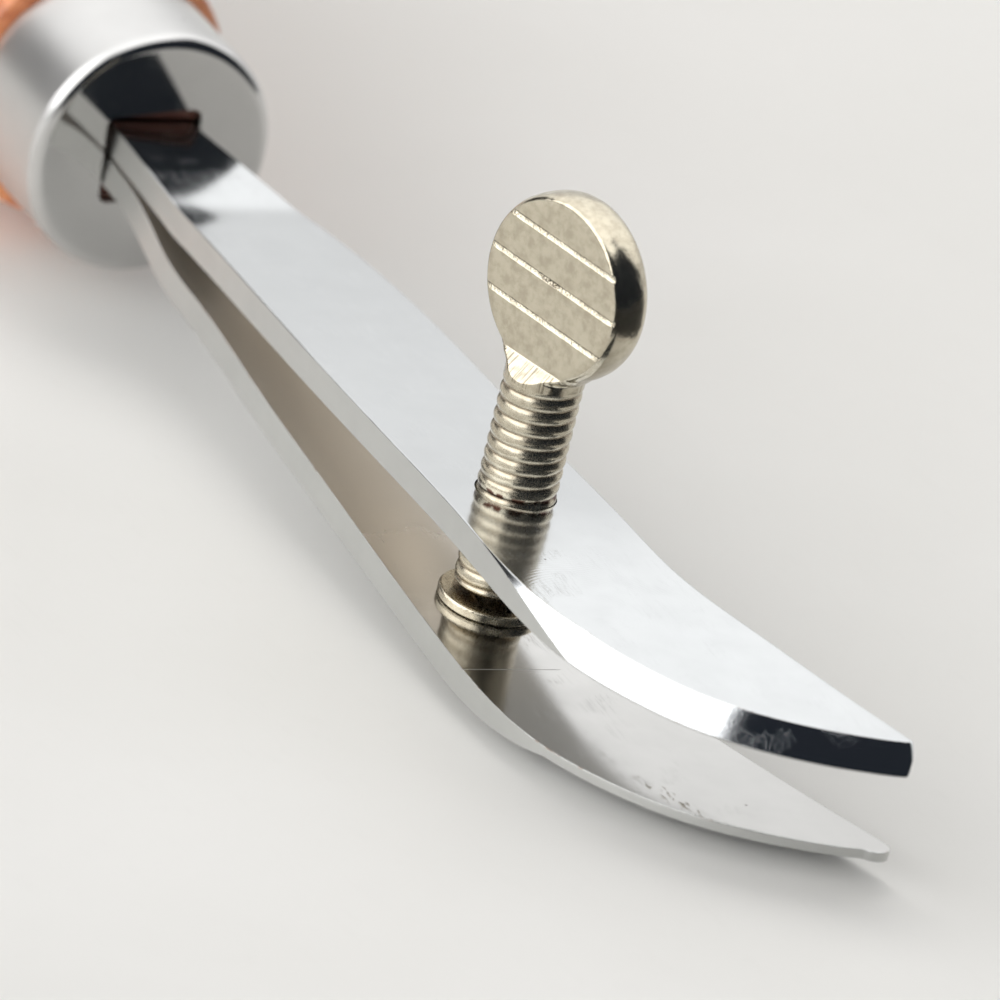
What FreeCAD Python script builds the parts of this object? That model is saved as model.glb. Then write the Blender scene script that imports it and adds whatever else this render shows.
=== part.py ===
import FreeCAD, Part
import math
import os

Vector = FreeCAD.Vector

# Leather edge creaser: two sprung steel blades in a ferruled wooden handle, with a thumbscrew to set the gap.
# Millimetres. X runs along the tool from the butt to the tips, Y is across it, Z is the thumbscrew's axis.
# Pieces are drawn with X = 0 at the ferrule's front face, then moved so that the origin is the butt's centre.

# Handle and ferrule
HANDLE_LENGTH = 100.0
SHOULDER_RADIUS = 7.35
BUTT_RADIUS = 6.5
BUTT_ROUND = 3.4
HANDLE_SWELL = [(-14.0, 7.7), (-26.0, 8.9), (-44.0, 10.9), (-62.0, 11.9), (-80.0, 11.3)]
FERRULE_RADIUS = 6.6
FERRULE_LENGTH = 7.5
FERRULE_WALL = 0.75
FERRULE_ROUND = 1.2
FERRULE_LIP = 0.25
TENON_CLEARANCE = 0.05
TENON_ROUND = 0.6
SHOULDER_ROUND = 0.45

# The punched hole in the ferrule and the slot for the tangs behind it
HOLE_WIDTH = 5.2
HOLE_HEIGHT = 4.8
HOLE_CORNER = 0.5
HOLE_CENTRE_Y = -0.1
HOLE_TWIST = 7.0
TANG_LENGTH = 18.0
TANG_SPLAY = 1.15
SLOT_FRONT_HALF_HEIGHT = 1.75
SLOT_BACK_HALF_HEIGHT = 2.25
SLOT_HALF_WIDTH = 2.6
SLOT_CENTRE_Y = -0.1
SLOT_LENGTH = 19.5

# Blades: both share one plan outline, curving to +Y at the tip
BLADE_THICKNESS = 1.5
ROOT_HALF_GAP = 0.1
TANG_NEAR_Y = -2.3
TANG_FAR_Y = 2.1
NEAR_EDGE = [
    (0.0, -2.45), (8.5, -2.7), (26.0, -3.75), (40.0, -4.15), (47.0, -4.4), (54.0, -4.35),
    (57.6, -3.65), (60.8, -2.15), (63.8, 0.05), (65.8, 2.55), (67.3, 5.45), (68.3, 8.4),
]
TIP_CORNER = (68.4, 9.5)
FAR_EDGE = [
    (67.5, 9.75), (62.0, 7.9), (57.0, 6.3), (51.7, 4.8), (46.0, 4.5), (34.0, 4.65),
    (22.0, 4.95), (11.6, 4.4), (3.8, 3.0), (0.0, 2.2),
]
# Height of each blade's inner face along the tool
UPPER_INNER = [
    (0.0, 0.1), (2.5, 0.03), (5.0, -0.04), (7.5, -0.11), (8.6, -0.125), (10.0, -0.04), (12.3, 0.11),
    (18.0, 0.46), (26.8, 0.93), (38.8, 1.45), (46.0, 1.74), (56.0, 1.65), (70.0, 1.35),
]
LOWER_INNER = [
    (0.0, -0.1), (1.6, -0.13), (3.0, -0.25), (5.8, -0.8), (7.6, -1.23), (9.2, -1.46), (13.0, -1.5),
    (21.0, -1.8), (30.0, -2.2), (41.0, -2.84), (48.0, -3.05), (58.0, -2.98), (70.0, -2.6),
]
# The ground bevel on the convex edge: it grows slowly between two stations and leaves a narrow land.
# A lean is how far the bevel runs in across the blade for each millimetre of its height.
BEVEL_START_X = 45.5
BEVEL_FULL_X = 57.2
BEVEL_GROWTH = 2.4
BEVEL_STAND_OFF = 0.02
UPPER_LAND = 0.08
LOWER_LAND = 0.52
UPPER_LEAN = 0.62
LOWER_LEAN = 2.4
BEVEL_STATIONS = 26
BEVEL_RUN_IN = 3.0
BEVEL_PAST_TIP = (68.0, 14.0)
BEVEL_SWEEP = (6.0, -6.0)

# Thumbscrew, M4 x 0.7
SCREW_X = 42.4
THREAD_PITCH = 0.7
THREAD_FLANK = 0.4
THREAD_RADIUS = 2.0
THREAD_ROOT_RADIUS = 1.58
THREAD_TOP = 9.3
THREAD_END = -2.15
THREAD_RUN_OUT = 0.3
PIN_RADIUS = 1.0
RUNNING_CLEARANCE = 0.05
HEAD_CENTRE_Z = 14.3
HEAD_TURN = 17.5
HEAD_FACE_RADIUS = 4.15
HEAD_RADIUS = 4.7
HEAD_HALF_THICKNESS = 1.15
FACET_TOP = 10.37
SHANK_TOP = 9.5
SHANK_INTO_HEAD = 0.6
GRIP_LINES = [2.55, 0.45, -1.63]
GRIP_LINE_WIDTH = 0.26
GRIP_LINE_DEPTH = 0.1

# Swivel at the lower blade
PIVOT_WASHER_RADIUS = 2.6
PIVOT_WASHER_THICKNESS = 0.55
PIVOT_WASHER_GAP = 0.02
RETAINER_RADIUS = 2.2
RETAINER_THICKNESS = 0.4
RETAINER_PLAY = 0.46
RIVET_RADIUS = 1.45
RIVET_HEIGHT = 0.6
RIVET_CHAMFER = 0.4
PIN_SLOT_HALF_WIDTH = 1.12
PIN_SLOT_BACK = -0.25
PIN_SLOT_FRONT = 0.9
WASHER_ROUND = 0.15

# Outlines are drawn in the plane they lie in and swept this far to each side of it
REACH = 10.0


def curve_through(points):
    """A smooth curve through points given as vectors."""
    curve = Part.BSplineCurve()
    curve.interpolate(points)
    return curve


def in_side_view(points):
    return [Vector(x, 0, z) for x, z in points]


def in_plan(points):
    return [Vector(x, y, 0) for x, y in points]


def line(a, b):
    return Part.makeLine(a, b)


def arc(a, middle, b):
    return Part.Arc(a, middle, b).toShape()


def corner_arc(centre, radius, start_degrees, end_degrees):
    """An arc in the XZ half plane that is later turned about an axis."""
    def at(degrees):
        angle = math.radians(degrees)
        return centre + Vector(math.cos(angle), 0, math.sin(angle)) * radius
    return arc(at(start_degrees), at((start_degrees + end_degrees) / 2), at(end_degrees))


def turned(edges, axis):
    """A solid of revolution about X or Z through the origin, from a closed half section."""
    return Part.Face(Part.Wire(edges)).revolve(Vector(0, 0, 0), axis, 360)


def polygon(points):
    return [line(a, b) for a, b in zip(points, points[1:] + points[:1])]


def height_at(curve, x):
    """Height of a nearly level side-view curve at a station."""
    return curve.value(curve.parameter(Vector(x, 0, 0))).z


def blade_plan():
    """The shared outline of both blades, as a tall prism."""
    near = in_plan(NEAR_EDGE)
    far = in_plan(FAR_EDGE)
    tang_near = Vector(-TANG_LENGTH, TANG_NEAR_Y, 0)
    tang_far = Vector(-TANG_LENGTH, TANG_FAR_Y, 0)
    edges = [
        curve_through(near).toShape(),
        arc(near[-1], Vector(*TIP_CORNER, 0), far[0]),
        curve_through(far).toShape(),
        line(far[-1], tang_far),
        line(tang_far, tang_near),
        line(tang_near, near[0]),
    ]
    prism = Part.Face(Part.Wire(edges)).extrude(Vector(0, 0, 2 * REACH))
    prism.translate(Vector(0, 0, -REACH))
    return prism


def blade_side(inner_points, outward):
    """One blade's side profile, as a wide prism; outward is +1 for the upper blade, -1 for the lower."""
    inner = in_side_view(inner_points)
    shift = Vector(0, 0, outward * BLADE_THICKNESS)
    outer = [p + shift for p in inner]
    tang_inner = Vector(-TANG_LENGTH, 0, outward * (ROOT_HALF_GAP + TANG_SPLAY))
    tang_outer = Vector(-TANG_LENGTH, 0, outward * (ROOT_HALF_GAP + BLADE_THICKNESS))
    edges = [
        curve_through(inner).toShape(),
        line(inner[-1], outer[-1]),
        curve_through(list(reversed(outer))).toShape(),
        line(outer[0], tang_outer),
        line(tang_outer, tang_inner),
        line(tang_inner, inner[0]),
    ]
    prism = Part.Face(Part.Wire(edges)).extrude(Vector(0, 2 * REACH, 0))
    prism.translate(Vector(0, -REACH, 0))
    return prism


def bevel_cutter(inner_points, outward, land, lean):
    """The space outside the ground bevel, which leans in from the land towards the blade's outer face."""
    outline = curve_through(in_plan(NEAR_EDGE + [TIP_CORNER, BEVEL_PAST_TIP]))
    inner = curve_through(in_side_view(inner_points))
    margin = 0.3
    first = outline.parameter(Vector(BEVEL_START_X - BEVEL_RUN_IN, NEAR_EDGE[4][1], 0))
    over, under = [], []
    for i in range(BEVEL_STATIONS + 1):
        u = first + (outline.LastParameter - first) * i / BEVEL_STATIONS
        point = outline.value(u)
        along = outline.tangent(u)[0]
        out = Vector(along.y, -along.x, 0)
        share = (point.x - BEVEL_START_X) / (BEVEL_FULL_X - BEVEL_START_X)
        grown = min(1.0, max(0.0, share)) ** BEVEL_GROWTH
        start = BLADE_THICKNESS + BEVEL_STAND_OFF
        start -= (start - land) * grown
        base = height_at(inner, point.x)
        top = BLADE_THICKNESS + margin
        lift = Vector(0, 0, base + outward * top)
        drop = Vector(0, 0, base - outward * margin)
        over.append(point + lift - out * (lean * (top - start)))
        under.append(point + drop + out * (lean * (margin + start)))
    face = Part.makeRuledSurface(curve_through(over).toShape(), curve_through(under).toShape())
    return face.extrude(Vector(*BEVEL_SWEEP, 0))


def blade(inner_points, outward, land, lean):
    shape = blade_plan().common(blade_side(inner_points, outward))
    return shape.cut(bevel_cutter(inner_points, outward, land, lean))


def upper_blade():
    """The blade that the thumbscrew is threaded through."""
    bore = Part.makeCylinder(THREAD_RADIUS + RUNNING_CLEARANCE, REACH, Vector(SCREW_X, 0, THREAD_END))
    return blade(UPPER_INNER, 1, UPPER_LAND, UPPER_LEAN).cut(bore)


def pin_slot(low, high):
    """The oval opening that lets the swivel pin lean as the blades swing apart."""
    height = high - low
    ends = []
    for x in (PIN_SLOT_BACK, PIN_SLOT_FRONT):
        ends.append(Part.makeCylinder(PIN_SLOT_HALF_WIDTH, height, Vector(SCREW_X + x, 0, low)))
    middle = Part.makeBox(
        PIN_SLOT_FRONT - PIN_SLOT_BACK, 2 * PIN_SLOT_HALF_WIDTH, height,
        Vector(SCREW_X + PIN_SLOT_BACK, -PIN_SLOT_HALF_WIDTH, low),
    )
    return ends[0].fuse(ends[1]).fuse(middle).removeSplitter()


def lower_blade():
    """The blade that the screw's swivel pin pushes on."""
    return blade(LOWER_INNER, -1, LOWER_LAND, LOWER_LEAN).cut(pin_slot(-6, -1))


def lower_seat():
    """Height and slope in degrees of the lower blade's inner face under the screw."""
    inner = curve_through(in_side_view(LOWER_INNER))
    span = 2.0
    rise = height_at(inner, SCREW_X + span) - height_at(inner, SCREW_X - span)
    return height_at(inner, SCREW_X), math.degrees(math.atan2(rise, 2 * span))


def ring(radius, bore, thickness):
    """A flat washer on the Z axis, standing on Z = 0, with rounded outer edges."""
    body = Part.makeCylinder(radius, thickness)
    rims = [e for e in body.Edges if isinstance(e.Curve, Part.Circle)]
    body = body.makeFillet(WASHER_ROUND, rims)
    return body.cut(bore)


def pivot_washer():
    """The washer that lies flat on the lower blade under the end of the thread."""
    seat, slope = lower_seat()
    opening = pin_slot(-1, 2)
    opening.translate(Vector(-SCREW_X, 0, 0))
    shape = ring(PIVOT_WASHER_RADIUS, opening, PIVOT_WASHER_THICKNESS)
    shape.rotate(Vector(0, 0, 0), Vector(0, 1, 0), -slope)
    shape.translate(Vector(SCREW_X, 0, seat + PIVOT_WASHER_GAP))
    return shape


def retainer_top():
    seat, _ = lower_seat()
    return seat - BLADE_THICKNESS - RETAINER_PLAY


def retaining_washer():
    """The washer that the pin's riveted end traps under the lower blade."""
    hole = Part.makeCylinder(PIN_RADIUS + RUNNING_CLEARANCE, 2, Vector(0, 0, -1))
    shape = ring(RETAINER_RADIUS, hole, RETAINER_THICKNESS)
    shape.translate(Vector(SCREW_X, 0, retainer_top() - RETAINER_THICKNESS))
    return shape


def threaded_shank():
    """The shank with its thread drawn as rings of the same pitch, and the swivel pin and rivet below it."""
    rivet_top = retainer_top() - RETAINER_THICKNESS - RUNNING_CLEARANCE
    section = [
        Vector(0, 0, rivet_top - RIVET_HEIGHT),
        Vector(RIVET_RADIUS - RIVET_CHAMFER, 0, rivet_top - RIVET_HEIGHT),
        Vector(RIVET_RADIUS, 0, rivet_top - RIVET_HEIGHT + RIVET_CHAMFER),
        Vector(RIVET_RADIUS, 0, rivet_top),
        Vector(PIN_RADIUS, 0, rivet_top),
        Vector(PIN_RADIUS, 0, THREAD_END),
        Vector(THREAD_ROOT_RADIUS, 0, THREAD_END),
    ]
    turns = int((THREAD_TOP - THREAD_END - THREAD_RUN_OUT) / THREAD_PITCH)
    base = THREAD_TOP - turns * THREAD_PITCH
    for i in range(turns):
        z = base + i * THREAD_PITCH
        section.append(Vector(THREAD_ROOT_RADIUS, 0, z))
        section.append(Vector(THREAD_RADIUS, 0, z + THREAD_PITCH * THREAD_FLANK))
        section.append(Vector(THREAD_RADIUS, 0, z + THREAD_PITCH * (1 - THREAD_FLANK)))
    section.append(Vector(THREAD_ROOT_RADIUS, 0, THREAD_TOP))
    section.append(Vector(THREAD_RADIUS, 0, SHANK_TOP))
    section.append(Vector(THREAD_RADIUS, 0, FACET_TOP + SHANK_INTO_HEAD))
    section.append(Vector(0, 0, FACET_TOP + SHANK_INTO_HEAD))
    return turned(polygon(section), Vector(0, 0, 1))


def facet_cutter(side):
    """The space beside the neck, cut by one of the two inclined facets that run from shank to head."""
    section = [
        Vector(0, side * HEAD_HALF_THICKNESS, FACET_TOP),
        Vector(0, side * (HEAD_HALF_THICKNESS + REACH), FACET_TOP - REACH),
        Vector(0, side * (HEAD_HALF_THICKNESS + REACH), FACET_TOP + REACH),
        Vector(0, side * HEAD_HALF_THICKNESS, FACET_TOP + REACH),
    ]
    cutter = Part.Face(Part.Wire(polygon(section))).extrude(Vector(2 * REACH, 0, 0))
    cutter.translate(Vector(-REACH, 0, 0))
    return cutter


def head_disc():
    """The flat round grip with a fully rounded rim, standing on edge; its faces look along Y."""
    half = HEAD_HALF_THICKNESS
    rim_back = Vector(HEAD_FACE_RADIUS, 0, -half)
    rim_front = Vector(HEAD_FACE_RADIUS, 0, half)
    edges = [
        line(Vector(0, 0, -half), rim_back),
        arc(rim_back, Vector(HEAD_RADIUS, 0, 0), rim_front),
        line(rim_front, Vector(0, 0, half)),
        line(Vector(0, 0, half), Vector(0, 0, -half)),
    ]
    disc = turned(edges, Vector(0, 0, 1))
    disc.rotate(Vector(0, 0, 0), Vector(1, 0, 0), 90)
    for side in (-1, 1):
        for z in GRIP_LINES:
            groove = Part.makeBox(
                2 * HEAD_RADIUS, 2 * GRIP_LINE_DEPTH, GRIP_LINE_WIDTH,
                Vector(-HEAD_RADIUS, side * half - GRIP_LINE_DEPTH, z - GRIP_LINE_WIDTH / 2),
            )
            disc = disc.cut(groove)
    disc.translate(Vector(0, 0, HEAD_CENTRE_Z))
    return disc


def thumb_screw():
    """Thread, swivel pin and spade head in one piece."""
    shank = threaded_shank()
    for side in (-1, 1):
        shank = shank.cut(facet_cutter(side))
    shape = shank.fuse(head_disc()).removeSplitter()
    shape.rotate(Vector(0, 0, 0), Vector(0, 0, 1), HEAD_TURN)
    shape.translate(Vector(SCREW_X, 0, 0))
    return shape


def ferrule():
    """A drawn steel cup over the handle's tenon, with a punched hole for the blades."""
    inside = FERRULE_RADIUS - FERRULE_WALL
    inner_round = FERRULE_ROUND - FERRULE_WALL
    front_inside = -FERRULE_WALL
    lip_x = -FERRULE_LENGTH + FERRULE_LIP
    edges = [
        line(Vector(front_inside, 0, 0), Vector(0, 0, 0)),
        line(Vector(0, 0, 0), Vector(0, 0, FERRULE_RADIUS - FERRULE_ROUND)),
        corner_arc(Vector(-FERRULE_ROUND, 0, FERRULE_RADIUS - FERRULE_ROUND), FERRULE_ROUND, 0, 90),
        line(Vector(-FERRULE_ROUND, 0, FERRULE_RADIUS), Vector(lip_x, 0, FERRULE_RADIUS)),
        corner_arc(Vector(lip_x, 0, FERRULE_RADIUS - FERRULE_LIP), FERRULE_LIP, 90, 180),
        line(Vector(-FERRULE_LENGTH, 0, FERRULE_RADIUS - FERRULE_LIP), Vector(-FERRULE_LENGTH, 0, inside)),
        line(Vector(-FERRULE_LENGTH, 0, inside), Vector(front_inside - inner_round, 0, inside)),
        corner_arc(Vector(front_inside - inner_round, 0, inside - inner_round), inner_round, 90, 0),
        line(Vector(front_inside, 0, inside - inner_round), Vector(front_inside, 0, 0)),
    ]
    cup = turned(edges, Vector(1, 0, 0))
    corner = Vector(-2 * FERRULE_WALL, -HOLE_WIDTH / 2, -HOLE_HEIGHT / 2)
    punch = Part.makeBox(4 * FERRULE_WALL, HOLE_WIDTH, HOLE_HEIGHT, corner)
    corners = [e for e in punch.Edges if abs(e.tangentAt(e.FirstParameter).x) > 0.9]
    punch = punch.makeFillet(HOLE_CORNER, corners)
    punch.rotate(Vector(0, 0, 0), Vector(1, 0, 0), HOLE_TWIST)
    punch.translate(Vector(0, HOLE_CENTRE_Y, 0))
    return cup.cut(punch)


def handle():
    """The turned wooden handle, with a tenon inside the ferrule and a tapered slot for the two tangs."""
    tenon = FERRULE_RADIUS - FERRULE_WALL - TENON_CLEARANCE
    tenon_front = -FERRULE_WALL - TENON_CLEARANCE
    shoulder = -FERRULE_LENGTH - TENON_CLEARANCE
    round_x = shoulder - SHOULDER_ROUND
    shoulder_top = Vector(round_x, 0, SHOULDER_RADIUS)
    butt_top = Vector(-HANDLE_LENGTH, 0, BUTT_RADIUS)
    butt_start = Vector(-HANDLE_LENGTH + BUTT_ROUND, 0, BUTT_RADIUS + BUTT_ROUND)
    side = [shoulder_top] + in_side_view(HANDLE_SWELL) + [butt_start]
    edges = [
        line(Vector(-HANDLE_LENGTH, 0, 0), Vector(tenon_front, 0, 0)),
        line(Vector(tenon_front, 0, 0), Vector(tenon_front, 0, tenon - TENON_ROUND)),
        corner_arc(Vector(tenon_front - TENON_ROUND, 0, tenon - TENON_ROUND), TENON_ROUND, 0, 90),
        line(Vector(tenon_front - TENON_ROUND, 0, tenon), Vector(shoulder, 0, tenon)),
        line(Vector(shoulder, 0, tenon), Vector(shoulder, 0, SHOULDER_RADIUS - SHOULDER_ROUND)),
        corner_arc(Vector(round_x, 0, SHOULDER_RADIUS - SHOULDER_ROUND), SHOULDER_ROUND, 0, 90),
        curve_through(side).toShape(),
        corner_arc(Vector(-HANDLE_LENGTH + BUTT_ROUND, 0, BUTT_RADIUS), BUTT_ROUND, 90, 180),
        line(butt_top, Vector(-HANDLE_LENGTH, 0, 0)),
    ]
    body = turned(edges, Vector(1, 0, 0))
    section = [
        Vector(1, 0, SLOT_FRONT_HALF_HEIGHT),
        Vector(-SLOT_LENGTH, 0, SLOT_BACK_HALF_HEIGHT),
        Vector(-SLOT_LENGTH, 0, -SLOT_BACK_HALF_HEIGHT),
        Vector(1, 0, -SLOT_FRONT_HALF_HEIGHT),
    ]
    slot = Part.Face(Part.Wire(polygon(section))).extrude(Vector(0, 2 * SLOT_HALF_WIDTH, 0))
    slot.translate(Vector(0, SLOT_CENTRE_Y - SLOT_HALF_WIDTH, 0))
    return body.cut(slot)


PIECES = {
    "handle": handle,
    "ferrule": ferrule,
    "upper_blade": upper_blade,
    "lower_blade": lower_blade,
    "pivot_washer": pivot_washer,
    "retaining_washer": retaining_washer,
    "thumb_screw": thumb_screw,
}


def main():
    os.makedirs("parts", exist_ok=True)
    for name, build in PIECES.items():
        shape = build()
        shape.translate(Vector(HANDLE_LENGTH, 0, 0))
        shape.exportStep("parts/" + name + ".step")


main()
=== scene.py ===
import math

import bmesh
import bpy
import numpy as np
from mathutils import Matrix, Vector, noise as field


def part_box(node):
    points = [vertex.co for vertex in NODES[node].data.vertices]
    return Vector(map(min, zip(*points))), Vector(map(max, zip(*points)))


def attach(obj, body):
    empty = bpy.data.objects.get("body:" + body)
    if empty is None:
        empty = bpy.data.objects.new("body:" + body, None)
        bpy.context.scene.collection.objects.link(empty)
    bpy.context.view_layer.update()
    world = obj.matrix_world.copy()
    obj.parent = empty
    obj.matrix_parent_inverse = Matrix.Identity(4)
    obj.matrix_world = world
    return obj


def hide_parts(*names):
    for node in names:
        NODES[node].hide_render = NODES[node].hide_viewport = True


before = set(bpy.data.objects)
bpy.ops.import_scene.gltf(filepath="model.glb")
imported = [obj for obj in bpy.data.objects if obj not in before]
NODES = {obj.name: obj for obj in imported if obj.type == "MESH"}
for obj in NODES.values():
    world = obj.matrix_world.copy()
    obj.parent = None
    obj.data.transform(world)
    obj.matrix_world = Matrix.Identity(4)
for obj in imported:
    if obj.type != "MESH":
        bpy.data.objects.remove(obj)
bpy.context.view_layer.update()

# Leather edge creaser, in metres in the frame's axes: +X from the butt to the tips, +Z up along the
# thumbscrew. Sizes of its details are in millimetres, and MM turns them into metres.
MM = 0.001

# Places taken from the frame
FERRULE_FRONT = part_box("ferrule")[1].x
SCREW_X = sum(corner.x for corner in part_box("thumb_screw")) / 2
HANDLE_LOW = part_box("handle")[0].z
TIP_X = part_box("lower_blade")[1].x

# Height of the lower tip's underside, where the floor touches it
TIP_LOW_Z = -4.3 * MM

# Camera: a long lens close to the tool's own level, turned so that the tool runs diagonally
CAMERA_AIM = Vector((SCREW_X - 0.18 * MM, -0.65 * MM, 2.6 * MM))
CAMERA_AZIMUTH = 59.237
CAMERA_ELEVATION = 23.892
CAMERA_ROLL = 14.015
CAMERA_DISTANCE = 1.0992
CAMERA_LENS = 816.5
CAMERA_FSTOP = 74.0

# Floor: it slopes up gently under the tool, from the handle's belly to the lower tip, and levels out beyond
BELLY_X = 38.0 * MM
FLOOR_SLOPE = (TIP_LOW_Z - HANDLE_LOW) / (TIP_X - BELLY_X)
FLOOR_LEVEL_BEFORE = -0.05
FLOOR_LEVEL_AFTER = TIP_X + 0.045
FLOOR_BLEND = 0.12
FLOOR_HALF = 4.0

# Marks on the blades, in millimetres from the ferrule's front and from the tool's axis.
# SWIRL_RATE is in rings per millimetre.
SWIRL_CENTRE = (55.5, -1.5)
SWIRL_RADIUS = 7.0
SWIRL_RATE = 4.7
SWIRL_HEIGHT = 0.0014
SCUFF_CENTRE = (62.7, 0.5)
SCUFF_TURN = 19.0
SCUFF_HALF_LENGTH = 2.6
SCUFF_HALF_WIDTH = 0.6
SCRATCH_X = 49.1
SCRATCH_END = 0.7
DULL_FROM = 46.0

# Height of the ring of painted shade on the thread, just above the upper blade where the thread enters it,
# in millimetres
SHADE_RING_Z = 3.5

# Colours, as linear red, green and blue with an alpha of 1
BLADE_STEEL = (0.62, 0.635, 0.64, 1.0)
SHEARED_STEEL = (0.60, 0.605, 0.59, 1.0)
GROUND_STEEL = (0.66, 0.675, 0.69, 1.0)
INNER_STEEL = (0.56, 0.555, 0.54, 1.0)
DULL_STEEL = (0.80, 0.76, 0.70, 1.0)
DRAWN_STEEL = (0.60, 0.595, 0.585, 1.0)
WORN_STEEL = (0.64, 0.645, 0.64, 1.0)
CHIP_BROWN = (0.30, 0.20, 0.15, 1.0)
SPECK_BROWN = (0.10, 0.08, 0.06, 1.0)
SCUFF_BROWN = (0.36, 0.31, 0.22, 1.0)
NICKEL_LIGHT = (0.60, 0.55, 0.435, 1.0)
NICKEL_DARK = (0.47, 0.42, 0.325, 1.0)
ROOT_BROWN = (0.24, 0.18, 0.12, 1.0)
# painted shade for the ring where the thread enters the upper blade
SHADE_RING_BROWN = (0.10, 0.045, 0.03, 1.0)
BRUSHED_BROWN = (0.20, 0.17, 0.12, 1.0)
TORN_BROWN = (0.16, 0.14, 0.11, 1.0)
WOOD_LIGHT = (0.78, 0.31, 0.13, 1.0)
WOOD_DARK = (0.48, 0.14, 0.05, 1.0)
PORE_BROWN = (0.26, 0.07, 0.03, 1.0)
# painted shade on the handle's front end inside the ferrule's hole
SOCKET_SHADE_BROWN = (0.09, 0.03, 0.018, 1.0)
BOARD_DARK = (0.80, 0.79, 0.76, 1.0)
BOARD_LIGHT = (0.845, 0.835, 0.81, 1.0)
RUB_GREY = (0.55, 0.53, 0.50, 1.0)
CAMERA_SIDE_DARK = (0.022, 0.026, 0.033, 1.0)

# Brightness of the white tent that polished metal sees, by elevation in degrees
TENT_LEVELS = ((0.0, 0.70), (19.0, 1.02), (25.0, 1.38), (36.0, 1.5), (50.0, 1.6), (90.0, 1.9))
TENT_PEAK = 1.9

# Windows in the surroundings: azimuths from +X towards +Y, elevations and the soft edge, all in degrees
SOFT_BOX = ((-132.0, -48.0), (10.0, 54.0), 4.0)
BEHIND_CAMERA = ((-46.0, 82.0), (-90.0, 57.0), 6.0)
FAR_CORNER = ((-172.0, -130.0), (0.0, 24.0), 3.0)
LOW_LIGHT = ((-165.0, -15.0), (2.0, 34.0), 10.0)

# Painted dark reflection: the part of the floor that polished metal alone sees as near black, beyond a
# distance on the camera's side: azimuths in degrees and distances in millimetres
GLOSSY_DARK_FLOOR = ((-32.0, 85.0), (38.0, 9000.0), 4.0)

# Key lamp, in degrees, metres and watts
KEY_AZIMUTH = 176.0
KEY_ELEVATION = 46.0
KEY_DISTANCE = 0.7
KEY_SIZE = 0.42
KEY_ENERGY = 1.5


# ---------------------------------------------------------------- shader helpers

def node(tree, kind, inputs=None, **settings):
    """Adds a shader node. inputs maps a socket's name or number to a value or to another node's socket."""
    made = tree.nodes.new("ShaderNode" + kind)
    for key, value in settings.items():
        setattr(made, key, value)
    for key, value in (inputs or {}).items():
        if isinstance(value, bpy.types.NodeSocket):
            tree.links.new(value, made.inputs[key])
        else:
            made.inputs[key].default_value = value
    return made


def maths(tree, operation, *values):
    inputs = {i: value for i, value in enumerate(values)}
    return node(tree, "Math", inputs, operation=operation).outputs[0]


def smooth(tree, value, low, high, to_low=0.0, to_high=1.0):
    """A smooth step of value from to_low at low to to_high at high."""
    inputs = {"Value": value, "From Min": low, "From Max": high, "To Min": to_low, "To Max": to_high}
    return node(tree, "MapRange", inputs, interpolation_type="SMOOTHSTEP").outputs["Result"]


def span(tree, a, b):
    """Length of the vector (a, b)."""
    square = maths(tree, "ADD", maths(tree, "MULTIPLY", a, a), maths(tree, "MULTIPLY", b, b))
    return maths(tree, "SQRT", square)


def turned(tree, a, b, degrees):
    """The place (a, b) measured along axes that are turned by an angle from the first towards the second."""
    c, s = math.cos(math.radians(degrees)), math.sin(math.radians(degrees))
    first = maths(tree, "ADD", maths(tree, "MULTIPLY", a, c), maths(tree, "MULTIPLY", b, s))
    second = maths(tree, "SUBTRACT", maths(tree, "MULTIPLY", b, c), maths(tree, "MULTIPLY", a, s))
    return first, second


def grey(value):
    return (value, value, value, 1.0)


def mix(tree, factor, a, b):
    made = node(tree, "Mix", data_type="RGBA")
    for key, value in ((0, factor), (6, a), (7, b)):
        if isinstance(value, bpy.types.NodeSocket):
            tree.links.new(value, made.inputs[key])
        else:
            made.inputs[key].default_value = value
    return made.outputs[2]


def millimetres(tree, stretch=(1.0, 1.0, 1.0), turn=(0.0, 0.0, 0.0), move=(0.0, 0.0, 0.0)):
    """Object coordinates in millimetres, optionally turned and stretched."""
    place = node(tree, "TexCoord").outputs["Object"]
    inputs = {
        "Vector": place,
        "Location": move,
        "Rotation": turn,
        "Scale": tuple(s / MM for s in stretch),
    }
    return node(tree, "Mapping", inputs).outputs["Vector"]


def noise(tree, vector, scale=1.0, detail=3.0, roughness=0.5):
    inputs = {"Vector": vector, "Scale": scale, "Detail": detail, "Roughness": roughness}
    return node(tree, "TexNoise", inputs).outputs["Fac"]


def bump(tree, height, distance, strength=1.0, normal=None):
    inputs = {"Height": height, "Distance": distance, "Strength": strength}
    if normal is not None:
        inputs["Normal"] = normal
    return node(tree, "Bump", inputs).outputs["Normal"]


def new_material(name):
    material = bpy.data.materials.new(name)
    material.use_nodes = True
    tree = material.node_tree
    return material, tree, tree.nodes["Principled BSDF"]


def connect(tree, shader, **sockets):
    for name, value in sockets.items():
        socket = shader.inputs[name.replace("_", " ")]
        if isinstance(value, bpy.types.NodeSocket):
            tree.links.new(value, socket)
        else:
            socket.default_value = value


# ---------------------------------------------------------------- materials

def scratches(tree, count, length, turn, seed, width=0.10):
    """Sparse thin scratches: 1 on a scratch, 0 between them."""
    vector = millimetres(tree, (1.0 / length, 4.0, 4.0), (0.0, 0.0, math.radians(turn)), (seed, seed, 0.0))
    wave = noise(tree, vector, 1.0, 2.0)
    away = maths(tree, "ABSOLUTE", maths(tree, "SUBTRACT", wave, 0.5))
    thin = smooth(tree, away, 0.0, width * 0.1, 1.0, 0.0)
    place = noise(tree, millimetres(tree, (0.35, 0.35, 0.35), move=(seed * 3.0, 0.0, 0.0)), 1.0, 1.0)
    return maths(tree, "MULTIPLY", thin, smooth(tree, place, count, count + 0.08))


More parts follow.
